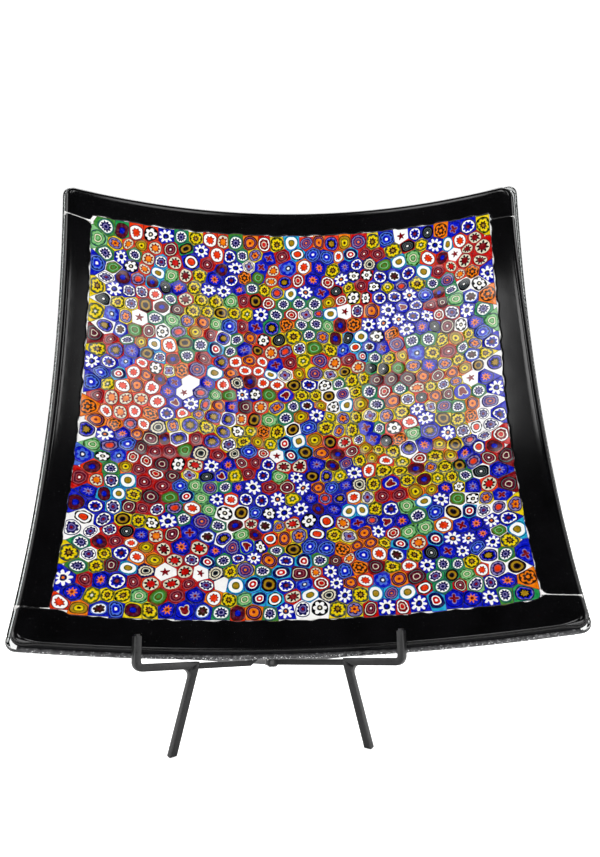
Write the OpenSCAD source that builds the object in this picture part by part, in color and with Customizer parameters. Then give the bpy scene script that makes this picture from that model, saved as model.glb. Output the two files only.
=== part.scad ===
// Square slumped-glass murrine bowl on a folding square-bar easel.
// Millimetres. The bowl faces -Y, +Z is up, the floor is z = 0.

/* [Bowl] */
// Side of the flat glass square before it is slumped (mm)
bowl_side = 250; // [150:1:400]
// Inner radius of the slumped curve (mm)
slump_radius = 317; // [220:1:900]
// Thickness of the clear base sheet (mm)
base_thickness = 3.5; // [2:0.1:6]
// Thickness of the border strips (mm)
strip_thickness = 4; // [2:0.1:6]
// Width of the mosaic field from side to side (mm)
mosaic_side = 220; // [100:1:360]
// Bare margin outside the left and right strips (mm)
side_margin = 0.4; // [0:0.1:8]
// Bare margin outside the top and bottom strips (mm)
end_margin = 0.4; // [0:0.1:8]
// Corner radius of the base sheet (mm)
base_corner = 5; // [1:0.5:15]
// Corner radius of the border frame (mm)
strip_corner = 10; // [1:0.5:20]

/* [Murrine] */
// Spacing of the chips along a row (mm)
chip_pitch = 7.72; // [6:0.01:14]
// Spacing of the rows (mm)
row_pitch = 6.82; // [5:0.01:14]
// Width of one chip across its flats (mm)
chip_size = 6.95; // [4:0.05:12]
// Thickness of one chip (mm)
chip_thickness = 3.9; // [2:0.1:6]

/* [Easel] */
// Lean of the bowl back from upright (degrees)
lean = 25; // [10:0.5:40]
// Slope of the ledges down toward the back (degrees)
ledge_slope = 14.5; // [0:0.5:25]
// Half angle between the two crossing frames (degrees)
cross_angle = 35; // [25:1:50]
// Side of the square bar (mm)
bar = 3.2; // [2:0.1:6]
// Distance from the rivet to the outside of a hook (mm)
hook_reach = 69.5; // [50:0.5:120]
// Height of a hook above the underside of its ledge (mm)
hook_height = 15.5; // [8:0.5:40]
// Distance from the rivet to the top of a front leg (mm)
leg_reach = 41; // [25:0.5:80]
// Drop of a front leg below its ledge (mm)
leg_drop = 36; // [20:0.5:80]
// Outward run of a front leg over its drop (mm)
leg_run = 9.8; // [0:0.1:30]
// Angle of a rail behind the rivet, from the line of the bowl's edge (degrees)
rear_angle = 62; // [45:1:75]
// Distance from the rivet to the foot of an upright (mm)
upright_start = 16; // [8:0.5:30]
// Height of the tip of an upright above the ledges (mm)
upright_height = 128; // [80:1:200]
// Sideways distance of the tip of an upright from the rivet (mm)
upright_spread = 26; // [5:0.5:60]
// Distance of the tip of an upright behind the rivet (mm)
upright_back = 25.5; // [5:0.1:60]

/* [Hidden] */
// the bowl is drawn lying flat and turned up by this much
tip = 90 - lean;
half = bowl_side / 2;
mos = mosaic_side / 2;
r_front = slump_radius;
r_seat = slump_radius + strip_thickness;
r_back = r_seat + base_thickness;
gap = 0.05;
// easel origin: rivet axis at the underside of the ledges
rivet_at = [-14, 0, 26.4];
bowl_from_rivet = [13.9, 45.98, 114.81];
easel_yaw = 2;
bowl_roll = 0.65;
// the rails are flatter than the ledges, so that they fold clear below the glass
rail_h = bar - 0.6;
y_shift = -29.75;
pin_r = 1.2;
// radial clearance of the bores: turning, and where the rivet is held
pin_clear = 0.05;
pin_seat = 0.02;
lap = 0.3;
// rivet heads: a cone frustum above and a thinner set head below
head_r = 2.6;
head_tip_r = 1.8;
head_h = 1.3;
tail_h = 0.7;
head_clear = 0.1;
tail_clear = 0.3;
// flattened eyes round the rivet, a little proud of the rails
eye_r = 3.4;
eye_proud = 0.15;
// directions on the sphere, by distance along the slumped sheet
function ray(p) = let(d = norm(p), a = d / slump_radius * 180 / PI)
    d < 0.001 ? [0, 0, -1] : [sin(a) * p[0] / d, sin(a) * p[1] / d, -cos(a)];
// cone from the sphere's centre through a flat outline: cuts every edge square to the sheet
module cut(outline) {
    n = len(outline);
    far = r_back * 1.25;
    pts = concat([[0, 0, 0]], [for (p = outline) ray(p) * far]);
    c = [for (k = [0:2]) [for (q = outline) ray(q)[k]]];
    m = [for (k = [0:2]) add(c[k]) / n];
    polyhedron(points = concat(pts, [m * far * 1.1]),
        faces = concat([for (i = [0:n - 1]) [0, 1 + (i + 1) % n, 1 + i]],
                       [for (i = [0:n - 1]) [n + 1, 1 + i, 1 + (i + 1) % n]]));
}
function add(v, i = 0) = i >= len(v) ? 0 : v[i] + add(v, i + 1);
// n steps of an arc about c, ends included
function arc(c, r, a0, a1, n) = [for (i = [0:n]) let(a = a0 + (a1 - a0) * i / n) c + r * [cos(a), sin(a)]];
// the points that cut a to b into n equal parts
function edge(a, b, n) = [for (i = [1:n - 1]) a + (b - a) * i / n];
// rectangle x0..x1, y0..y1 with a radius for each corner: lower right, upper right, upper left, lower left
function slab(x0, x1, y0, y1, r, nx, ny) = concat(
    arc([x1 - r[0], y0 + r[0]], r[0], -90, 0, r[0] > 0.6 ? 5 : 1),
    edge([x1, y0 + r[0]], [x1, y1 - r[1]], ny),
    arc([x1 - r[1], y1 - r[1]], r[1], 0, 90, r[1] > 0.6 ? 5 : 1),
    edge([x1 - r[1], y1], [x0 + r[2], y1], nx),
    arc([x0 + r[2], y1 - r[2]], r[2], 90, 180, r[2] > 0.6 ? 5 : 1),
    edge([x0, y1 - r[2]], [x0, y0 + r[3]], ny),
    arc([x0 + r[3], y0 + r[3]], r[3], 180, 270, r[3] > 0.6 ? 5 : 1),
    edge([x0 + r[3], y0], [x1 - r[0], y0], nx));
module shell(r_out, r_in) {
    difference() {
        rotate([0, 90, 0]) sphere(r = r_out, $fn = 96);
        rotate([0, 90, 0]) sphere(r = r_in, $fn = 96);
    }
}
// puts a piece drawn about the sphere's centre on the easel
module on_easel() {
    translate(rivet_at + bowl_from_rivet + [0, y_shift, 0])
        rotate([tip, 0, 0]) rotate([0, 0, bowl_roll]) translate([0, 0, slump_radius]) children();
}
module slumped(outline, r_out, r_in) {
    on_easel() intersection() {
        shell(r_out, r_in);
        cut(outline);
    }
}
sx = half - side_margin;
sy = half - end_margin;
// corner radius where two strips butt, and how far the side strips stop short of the others
butt_r = 0.3;
butt_gap = 0.3;
// outer corner radius of a side strip's upper end
side_corner = 4;
// the mosaic sits this much to the left of the middle
field_shift = 0.6;

module clear_base_sheet() {
    color([0.80, 0.86, 0.85, 0.6])
        slumped(slab(-half, half, -half, half, base_corner * [1, 1, 1, 1], 10, 10), r_back, r_seat);
}
module border_strip_top() {
    color([0.03, 0.03, 0.035])
        slumped(slab(-sx, sx, mos + gap, sy, [butt_r, strip_corner, strip_corner, butt_r], 12, 2),
                r_seat, r_front);
}
module border_strip_bottom() {
    color([0.03, 0.03, 0.035])
        slumped(slab(-sx, sx, -sy, -mos - gap, [strip_corner, butt_r, butt_r, strip_corner], 12, 2),
                r_seat, r_front);
}
module border_strip_left() {
    color([0.04, 0.04, 0.045])
        slumped(slab(-sx, -mos - field_shift, -mos + butt_gap, mos - butt_gap,
                     [butt_r, side_corner, butt_r, butt_r], 2, 10), r_seat, r_front);
}
module border_strip_right() {
    color([0.04, 0.04, 0.045])
        slumped(slab(mos - field_shift, sx, -mos + butt_gap, mos - butt_gap,
                     [butt_r, butt_r, butt_r, side_corner], 2, 10), r_seat, r_front);
}

// ---- murrine: rows of chips, each chip of one cane pattern ----
kinds = 21;
cols = 28;
rows = 32;
jit = rands(-0.15, 0.15, 2 * cols * rows, 4711);
pick = rands(0, 1, cols * rows, 90210);
near = rands(0, 1, cols * rows, 1234);
// places where one cane was laid in a cluster: x, y, reach, kind
drifts = [[-88, 10, 20, 2], [-70, -25, 14, 1], [-30, 34, 16, 2], [84, 30, 18, 3], [66, -30, 16, 3],
          [40, 80, 14, 7], [-40, 88, 16, 0], [0, 60, 15, 4], [60, 60, 13, 0], [20, 10, 18, 3],
          [-10, -40, 17, 0], [-60, -80, 15, 10], [30, -78, 15, 2], [88, -70, 15, 0], [-92, 70, 14, 6],
          [96, 90, 12, 10], [-20, -92, 12, 5], [5, -8, 10, 14], [-55, 60, 12, 3], [95, -10, 12, 6],
          [-96, -60, 12, 6], [50, 20, 12, 1], [-50, -5, 12, 8], [70, -92, 12, 4]];
// how many of the chips inside a cluster are of its kind
drift_share = 0.55;
// share of each kind in the loose mix
share = [0.15, 0.07, 0.10, 0.14, 0.06, 0.05, 0.06, 0.05, 0.04, 0.04, 0.03, 0.012, 0.025, 0.035, 0.03,
         0.025, 0.025, 0.02, 0.02, 0.016, 0.002];
// the two plain white chips: row, column
plain_white = kinds - 1;
plain_at = [[19, 6], [2, 9]];
function upto(k) = k < 0 ? 0 : share[k] + upto(k - 1);
total = upto(kinds - 1);
function draw(t, k = 0) = k >= kinds - 1 || t * total < upto(k) ? k : draw(t, k + 1);
function first_drift(p, q, i = 0) = i >= len(drifts) || q >= drift_share ? -1
    : norm(p - [drifts[i][0], drifts[i][1]]) < drifts[i][2] ? drifts[i][3] : first_drift(p, q, i + 1);
function spot(r, c) = let(i = r * cols + c)
    [(c - (cols - 1) / 2) * chip_pitch + (r % 2 == 0 ? -1 : 1) * chip_pitch * 0.25 + jit[2 * i] - 0.5,
     (r - (rows - 1) / 2) * row_pitch + jit[2 * i + 1]];
function kind(r, c) = let(i = r * cols + c, d = first_drift(spot(r, c), near[i]))
    [r, c] == plain_at[0] || [r, c] == plain_at[1] ? plain_white
    : d >= 0 ? d : min(draw(pick[i]), plain_white - 1);
module chip(p) {
    v = ray(p);
    a = acos(-v[2]);
    az = atan2(v[1], v[0]);
    rotate([0, 0, az]) rotate([0, -a, 0]) translate([0, 0, -r_seat + gap]) rotate([0, 0, -az + 30])
        cylinder(h = chip_thickness, d = chip_size / cos(30), $fn = 6);
}
module chips(k) {
    on_easel() for (r = [0:rows - 1]) for (c = [0:cols - 1]) if (kind(r, c) == k) chip(spot(r, c));
}
module murrine_cobalt_daisy() { color([0.12, 0.22, 0.75]) chips(0); }
module murrine_red_bullseye() { color([0.80, 0.12, 0.10]) chips(1); }
module murrine_orange_sun() { color([0.92, 0.38, 0.14]) chips(2); }
module murrine_yellow_star() { color([0.93, 0.80, 0.20]) chips(3); }
module murrine_green_star() { color([0.25, 0.60, 0.30]) chips(4); }
module murrine_turquoise_ring() { color([0.20, 0.68, 0.72]) chips(5); }
module murrine_white_blossom() { color([0.90, 0.90, 0.92]) chips(6); }
module murrine_black_petal() { color([0.08, 0.08, 0.10]) chips(7); }
module murrine_navy_star() { color([0.10, 0.12, 0.38]) chips(8); }
module murrine_maroon_ring() { color([0.42, 0.07, 0.12]) chips(9); }
module murrine_white_red_star() { color([0.95, 0.90, 0.90]) chips(10); }
module murrine_heart() { color([0.90, 0.75, 0.75]) chips(11); }
module murrine_olive_oval() { color([0.45, 0.46, 0.20]) chips(12); }
module murrine_pale_green_flower() { color([0.62, 0.80, 0.62]) chips(13); }
module murrine_amber_eye() { color([0.55, 0.32, 0.10]) chips(14); }
module murrine_grey_ring() { color([0.60, 0.62, 0.64]) chips(15); }
module murrine_blue_cross() { color([0.25, 0.42, 0.85]) chips(16); }
module murrine_lilac_clover() { color([0.72, 0.62, 0.80]) chips(17); }
module murrine_purple_flower() { color([0.48, 0.25, 0.60]) chips(18); }
module murrine_light_blue() { color([0.50, 0.72, 0.90]) chips(19); }
module murrine_plain_white() { color([0.96, 0.96, 0.95]) chips(20); }

// ---- easel: drawn about the rivet, ledges level, then tipped back ----
black = [0.06, 0.06, 0.06];
foot_far = leg_drop + 4;
room = 300;
leg_lean = atan(leg_run / leg_drop);
module easel() {
    intersection() {
        translate(rivet_at + [0, y_shift, 0])
            rotate([-ledge_slope, 0, 0]) rotate([0, 0, easel_yaw]) children();
        // everything above the floor
        translate([-room, -room, 0]) cube(2 * room);
    }
}
// upright plane through the rivet, with local x running out along angle a
module plane(a) {
    rotate([0, 0, a]) rotate([90, 0, 0]) translate([0, 0, -bar / 2]) children();
}
// side = -1 is the frame with the left hook, 1 the one with the right hook
function ahead(side) = side < 0 ? 180 + cross_angle : -cross_angle;
function behind(side) = side < 0 ? rear_angle : 180 - rear_angle;
module bent(h = bar) { linear_extrude(height = bar) children(); }
module quarter(c, ro, ri, a) {
    // quarter bend about c, starting at angle a
    translate(c) rotate(a) intersection() {
        difference() { circle(r = ro, $fn = 48); circle(r = ri, $fn = 48); }
        square([ro, ro]);
    }
}
// bend of the hook, outside and inside
hook_ro = 4.2;
hook_ri = 1.0;
// chamfer at the hook's tip
tip_cut = 0.8;
// weld fillet between ledge and leg
fillet_r = 2.75;
fillet_run = 5.69;
fillet_drop = 3.47;
module hook_profile() {
    // hook
    translate([hook_reach - bar, hook_ro]) square([bar, hook_height - hook_ro - tip_cut]);
    translate([hook_reach - bar + tip_cut, hook_ro]) square([bar - 2 * tip_cut, hook_height - hook_ro]);
    quarter([hook_reach - hook_ro, hook_ro], hook_ro, hook_ri, -90);
    // ledge
    translate([leg_reach - bar / 2, 0]) square([hook_reach - hook_ro - leg_reach + bar / 2, bar]);
    // leg, with the weld fillet on its outer side
    translate([leg_reach, bar / 2]) rotate(leg_lean) translate([-bar / 2, -foot_far]) square([bar, foot_far]);
    difference() {
        translate([leg_reach, -fillet_drop]) square([fillet_run, fillet_drop + 0.13]);
        translate([leg_reach + fillet_run, -fillet_r]) circle(r = fillet_r, $fn = 48);
    }
}
// the upper rail's raised part: its half length, the run of its slope, and its height
bridge = 9;
slope_run = 4;
rise = rail_h + lap;
// a rail runs on behind the rivet until its underside meets the floor
function rail_end(side) = rivet_at[2] / sin(ledge_slope) / sin(behind(side) + easel_yaw) + 1;
module rail_profile(over, far) {
    up = over ? rise : 0;
    polygon([[0, up], [bridge, up], [bridge + slope_run, 0], [far, 0],
             [far, rail_h], [bridge + slope_run, rail_h], [bridge, up + rail_h], [0, up + rail_h]]);
}
module rail(side, over) {
    plane(ahead(side)) bent() rail_profile(over, leg_reach - bar / 2);
    plane(behind(side)) bent() rail_profile(over, rail_end(side));
    // flattened eye at the rivet
    translate([0, 0, over ? rise - gap : gap - eye_proud])
        cylinder(r = eye_r, h = rail_h + eye_proud, $fn = 48);
}
module upright(side) {
    foot = [-side * upright_start * cos(rear_angle), upright_start * sin(rear_angle), rail_h];
    tip_at = [-side * upright_spread, upright_back, upright_height];
    d = tip_at - foot;
    az = atan2(d[1], d[0]);
    difference() {
        translate(foot) rotate([0, 0, az]) rotate([0, acos(d[2] / norm(d)), 0])
            rotate([0, 0, -az + behind(side)])
                translate([-bar / 2, -bar / 2, -bar]) cube([bar, bar, norm(d) + bar]);
        // cut level where it is welded to the rail
        translate(foot + [-2 * bar, -2 * bar, -3 * bar]) cube([4 * bar, 4 * bar, 3 * bar]);
    }
}
module hook_bar_left() { color(black) easel() plane(ahead(-1)) bent() hook_profile(); }
module hook_bar_right() { color(black) easel() plane(ahead(1)) bent() hook_profile(); }
module cross_rail_left() {
    color(black) easel() difference() {
        rail(-1, true);
        translate([0, 0, rise - 1]) cylinder(r = pin_r + pin_seat, h = rail_h + 2, $fn = 32);
    }
}
module cross_rail_right() {
    color(black) easel() difference() {
        rail(1, false);
        translate([0, 0, -1]) cylinder(r = pin_r + pin_clear, h = rail_h + 2, $fn = 32);
    }
}
module back_upright_left() { color(black) easel() upright(1); }
module back_upright_right() { color(black) easel() upright(-1); }
module pivot_rivet() {
    shank_h = tail_clear + rise + rail_h + head_clear + 2 * gap;
    color([0.10, 0.10, 0.10]) easel() {
        translate([0, 0, -tail_clear - gap]) cylinder(r = pin_r, h = shank_h, $fn = 32);
        translate([0, 0, rise + rail_h + head_clear])
            cylinder(r1 = head_r, r2 = head_tip_r, h = head_h, $fn = 32);
        translate([0, 0, -tail_clear - tail_h])
            cylinder(r1 = head_tip_r, r2 = head_r, h = tail_h, $fn = 32);
    }
}

clear_base_sheet();
border_strip_top();
border_strip_bottom();
border_strip_left();
border_strip_right();
murrine_cobalt_daisy();
murrine_red_bullseye();
murrine_orange_sun();
murrine_yellow_star();
murrine_green_star();
murrine_turquoise_ring();
murrine_white_blossom();
murrine_black_petal();
murrine_navy_star();
murrine_maroon_ring();
murrine_white_red_star();
murrine_heart();
murrine_olive_oval();
murrine_pale_green_flower();
murrine_amber_eye();
murrine_grey_ring();
murrine_blue_cross();
murrine_lilac_clover();
murrine_purple_flower();
murrine_light_blue();
murrine_plain_white();
hook_bar_left();
hook_bar_right();
cross_rail_left();
cross_rail_right();
back_upright_left();
back_upright_right();
pivot_rivet();
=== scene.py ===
"""Looks for the slumped murrine bowl on its folding easel.

Lengths are in millimetres, apart from what Blender takes in metres: the scene, the lights and the camera."""
import math
import random

import bpy
import numpy as np
from mathutils import Matrix, Vector


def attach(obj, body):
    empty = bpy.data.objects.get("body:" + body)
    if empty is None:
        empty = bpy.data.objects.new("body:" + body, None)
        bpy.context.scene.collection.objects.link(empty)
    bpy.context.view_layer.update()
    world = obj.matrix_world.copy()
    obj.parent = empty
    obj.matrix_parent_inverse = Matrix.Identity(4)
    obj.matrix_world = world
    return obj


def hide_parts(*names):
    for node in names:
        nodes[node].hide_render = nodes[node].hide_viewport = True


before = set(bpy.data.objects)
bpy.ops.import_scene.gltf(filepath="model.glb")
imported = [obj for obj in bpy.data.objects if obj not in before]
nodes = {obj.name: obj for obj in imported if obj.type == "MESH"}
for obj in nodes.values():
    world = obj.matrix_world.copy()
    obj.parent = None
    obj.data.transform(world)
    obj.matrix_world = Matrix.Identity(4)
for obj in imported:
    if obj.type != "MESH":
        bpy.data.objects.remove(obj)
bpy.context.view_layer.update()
scene = bpy.context.scene
rng = random.Random(7)
MM = 0.001
TURN = 2 * math.pi

# ------------------------------------ the bowl's own frame (as in the CAD source)
# radii of the strips' front, the clear sheet's front and the clear sheet's back
R_FRONT, R_SEAT, R_BACK = 317.0, 321.0, 324.5
# half the side of the glass and of the mosaic
HALF, MOS = 125.0, 110.0
# outer edges of the black frame: right, top and bottom, and left, where the strip lies a little further in
SX, SY, SL = HALF - 0.4, HALF - 0.4, HALF - 1.3
# the clear sheet's lower edge spread a little on the mould
LOW_EDGE = HALF + 0.55
# the frame's right edge draws in by this much towards the top
TOP_RIGHT_IN = 1.5
# corner radii of the black frame, by the signs of u and v
ROUND = {(-1, 1): 4.6, (1, 1): 7.5, (-1, -1): 6.5, (1, -1): 6.0}

ON_EASEL = np.array(Matrix.Translation((-0.1, 16.23, 141.21)) @ Matrix.Rotation(math.radians(65), 4, "X")
                    @ Matrix.Rotation(math.radians(0.65), 4, "Z") @ Matrix.Translation((0, 0, R_FRONT)))
OFF_EASEL = np.linalg.inv(ON_EASEL)


def place(uv, r):
    """Points of the slumped sheet in metres, from flat (u, v) and the radius from the sphere's centre."""
    uv = np.asarray(uv, float)
    r = np.asarray(r, float)
    d = np.hypot(uv[:, 0], uv[:, 1])
    a = d / R_FRONT
    k = np.where(d > 1e-9, np.sin(a) / np.maximum(d, 1e-9), 1 / R_FRONT)
    p = np.stack([k * uv[:, 0] * r, k * uv[:, 1] * r, -np.cos(a) * r], 1)
    return (p @ ON_EASEL[:3, :3].T + ON_EASEL[:3, 3]) * MM


def flat(points):
    """Points in metres back to flat (u, v)."""
    p = np.asarray(points, float) * 1000 @ OFF_EASEL[:3, :3].T + OFF_EASEL[:3, 3]
    a = np.arccos(np.clip(-p[:, 2] / np.linalg.norm(p, axis=1), -1, 1))
    h = np.maximum(np.hypot(p[:, 0], p[:, 1]), 1e-9)
    return np.stack([p[:, 0], p[:, 1]], 1) * (R_FRONT * a / h)[:, None]


def ease(x, a, b):
    """Rises smoothly from 0 at a to 1 at b."""
    t = np.clip((x - a) / (b - a), 0, 1)
    return t * t * (3 - 2 * t)


# ------------------------------------ materials
def srgb(h):
    c = [int(h[i:i + 2], 16) / 255 for i in (0, 2, 4)]
    return tuple(x / 12.92 if x <= 0.04045 else ((x + 0.055) / 1.055) ** 2.4 for x in c) + (1.0,)


def tint(c, k, white=0.0):
    return tuple(min(1.0, x * k * (1 - white) + white) for x in c[:3]) + (1.0,)


def grey(x):
    return (x, x, x, 1)


def noise(nt, scale, detail=2.0, rough=0.5):
    tc = nt.nodes.new("ShaderNodeTexCoord")
    n = nt.nodes.new("ShaderNodeTexNoise")
    n.inputs["Scale"].default_value = scale
    n.inputs["Detail"].default_value = detail
    n.inputs["Roughness"].default_value = rough
    nt.links.new(tc.outputs["Object"], n.inputs["Vector"])
    return n.outputs["Fac"]


def ramp(nt, src, stops):
    r = nt.nodes.new("ShaderNodeValToRGB")
    e = r.color_ramp.elements
    while len(e) < len(stops):
        e.new(0.5)
    for x, (pos, col) in zip(e, stops):
        x.position = pos
        x.color = col
    nt.links.new(src, r.inputs["Fac"])
    return r.outputs["Color"]


def surface(name, grain, colours, rough=None, dents=None, **values):
    """A material whose base colour follows a noise. rough is a noise and two stops of roughness, dents is a
    noise, a strength and a depth in metres. A noise is its scale, detail and roughness."""
    m = bpy.data.materials.new(name)
    m.use_nodes = True
    nt = m.node_tree
    b = nt.nodes["Principled BSDF"]
    nt.links.new(ramp(nt, noise(nt, *grain), colours), b.inputs["Base Color"])
    if rough:
        stops = [(pos, grey(x)) for pos, x in rough[1:]]
        nt.links.new(ramp(nt, noise(nt, *rough[0]), stops), b.inputs["Roughness"])
    if dents:
        n = nt.nodes.new("ShaderNodeBump")
        n.inputs["Strength"].default_value = dents[1]
        n.inputs["Distance"].default_value = dents[2]
        nt.links.new(noise(nt, *dents[0]), n.inputs["Height"])
        nt.links.new(n.outputs["Normal"], b.inputs["Normal"])
    for socket, value in values.items():
        b.inputs[socket.replace("_", " ")].default_value = value
    return m


def cane_glass(key, code):
    c = srgb(code)
    colours = {"white": [(0.25, tint(c, 0.90)), (0.5, c), (0.8, tint(c, 1.0, 0.3))],
               "black": [(0.3, tint(c, 0.5)), (0.55, c), (0.8, tint(c, 1.0, 0.03))]}
    streaks = [(0.28, tint(c, 0.62)), (0.5, c), (0.78, tint(c, 1.12, 0.05))]
    return surface("cane_" + key, (620.0, 3.0, 0.6), colours.get(key, streaks),
                   rough=((90.0,), (0.3, 0.06), (0.7, 0.10)), dents=((150.0,), 0.12, 0.0004),
                   IOR=1.5, Specular_IOR_Level=0.44)


def black_glass():
    m = surface("black_glass", (55.0, 4.0, 0.6),
                [(0.3, (0.0012, 0.0012, 0.0014, 1)), (0.7, (0.0035, 0.0034, 0.0040, 1))],
                rough=((25.0, 3.0), (0.3, 0.09), (0.7, 0.13)), dents=((35.0,), 0.10, 0.0006), IOR=1.5)
    # a few pale specks of dust in the glass
    nt = m.node_tree
    base = nt.nodes["Principled BSDF"].inputs["Base Color"]
    mix = nt.nodes.new("ShaderNodeMix")
    mix.data_type = "RGBA"
    specks = ramp(nt, noise(nt, 2300.0, 1.0), [(0.775, grey(0)), (0.80, grey(1))])
    nt.links.new(specks, mix.inputs["Factor"])
    nt.links.new(base.links[0].from_socket, mix.inputs["A"])
    mix.inputs["B"].default_value = grey(0.10)
    nt.links.new(mix.outputs["Result"], base)
    return m


def black_ground_edge():
    return surface("black_glass_ground_edge", (900.0, 3.0, 0.7),
                   [(0.35, (0.001, 0.001, 0.0015, 1)), (0.62, (0.005, 0.005, 0.006, 1)),
                    (0.8, (0.02, 0.02, 0.023, 1))],
                   rough=((400.0,), (0.3, 0.3), (0.7, 0.5)), dents=((700.0,), 0.3, 0.0003),
                   Specular_IOR_Level=0.06)


def clear_glass():
    return surface("clear_glass", (40.0,), [(0.3, (0.93, 0.965, 0.955, 1)), (0.7, (0.97, 0.985, 0.98, 1))],
                   rough=((300.0,), (0.35, 0.05), (0.7, 0.13)), dents=((260.0, 3.0), 0.25, 0.0005),
                   Transmission_Weight=1.0, IOR=1.5)


def clear_edge_painted_shade():
    # painted shade: the clear sheet's lower edge is given an opaque dark grey for the dark look the clear
    # glass has there, and its paler flecks are painted glints
    grain = (620.0, 3.0, 0.65)
    return surface("clear_glass_edge_painted_shade", grain,
                   [(0.34, (0.022, 0.022, 0.024, 1)), (0.58, (0.08, 0.08, 0.083, 1)),
                    (0.74, (0.42, 0.42, 0.43, 1))],
                   rough=((300.0,), (0.3, 0.10), (0.7, 0.3)), dents=(grain, 0.4, 0.0004),
                   Specular_IOR_Level=0.3)


def bubble_glass():
    return surface("edge_bubbles", (800.0,), [(0.3, (0.55, 0.57, 0.58, 1)), (0.6, (0.95, 0.95, 0.95, 1))],
                   Roughness=0.15)


def powder_coat():
    grain = (1100.0, 3.0, 0.6)
    return surface("black_powder_coat", (180.0, 3.0),
                   [(0.3, (0.005, 0.005, 0.0055, 1)), (0.7, (0.013, 0.013, 0.0135, 1))],
                   rough=(grain, (0.3, 0.26), (0.7, 0.38)), dents=(grain, 0.35, 0.00015))


PALETTE = {
    "white": "FFFEFC", "cobalt": "0212C0", "navy": "06084E", "black": "04040C", "red": "C60C06",
    "darkred": "7C0610", "orangered": "E83606", "orange": "F07C06", "yellow": "ECD004", "ochre": "A88210",
    "olive": "525E12",
    "green": "1C9248", "palegreen": "80BE7E", "leaf": "388830", "turquoise": "1FA8D0", "teal": "3E8A6C",
    "maroon": "560A22", "brown": "34190C", "grey": "4E5A5C", "lilac": "8076B4", "purple": "2C1E6C",
    "lightblue": "4870D8", "cream": "E6DEC4", "pink": "A84C56",
}
COLOURS = list(PALETTE)
canes = [cane_glass(key, code) for key, code in PALETTE.items()]
m_white = canes[COLOURS.index("white")]
strip_mats = [black_glass(), black_ground_edge()]
base_mats = [clear_glass(), clear_edge_painted_shade()]


def make(name, verts, faces, mats, slot, index=None, stands_for=()):
    """A smooth-shaded piece of the bowl."""
    me = bpy.data.meshes.new(name)
    me.from_pydata([tuple(v) for v in verts], [], faces)
    for m in mats:
        me.materials.append(m)
    if index is not None:
        me.polygons.foreach_set("material_index", np.asarray(index, np.int32))
    me.polygons.foreach_set("use_smooth", np.full(len(me.polygons), True))
    me.validate(clean_customdata=False)
    me.update()
    o = bpy.data.objects.new(name, me)
    scene.collection.objects.link(o)
    if stands_for:
        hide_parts(*stands_for)
    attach(o, "bowl")


# ------------------------------------ sheets with rounded edges
CORNER_STEPS = 8
FRONT_STEPS, BACK_STEPS = 3, 4


def offset(loop, d):
    """The closed loop moved inward by d."""
    p = np.asarray(loop)
    t = np.roll(p, -1, 0) - np.roll(p, 1, 0)
    t /= np.maximum(np.linalg.norm(t, axis=1), 1e-9)[:, None]
    return p + np.broadcast_to(d, len(p))[:, None] * np.stack([-t[:, 1], t[:, 0]], 1)


def spaced(a, b, n, ra, rb):
    """Columns from a to b, close together over the rounded ends."""
    turn = [math.pi / 2 * i / CORNER_STEPS for i in range(CORNER_STEPS + 1)]
    out = list(np.linspace(a + ra, b - rb, n))
    if ra > 0:
        out = [a + ra * (1 - math.cos(t)) for t in turn[:-1]] + out
    if rb > 0:
        out += [b - rb * (1 - math.sin(t)) for t in turn[1:]]
    return np.array(out)


def panel(x0, x1, nx, rows, lo, hi, corners=(0, 0, 0, 0)):
    """Grid of flat points: columns along x, each from lo(x) to hi(x) at the fractions in rows, with the
    corners lower left, upper left, lower right, upper right rounded."""
    ll, ul, lr, ur = corners
    out = []
    for x in spaced(x0, x1, nx, max(ll, ul), max(lr, ur)):
        a, b = lo(x), hi(x)
        for c, side in ((ll, x - x0), (lr, x1 - x)):
            if side < c:
                a += c - math.sqrt(max(0.0, c * c - (c - side) ** 2))
        for c, side in ((ul, x - x0), (ur, x1 - x)):
            if side < c:
                b -= c - math.sqrt(max(0.0, c * c - (c - side) ** 2))
        out.append([(x, a + (b - a) * t) for t in rows])
    return np.array(out)


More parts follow.
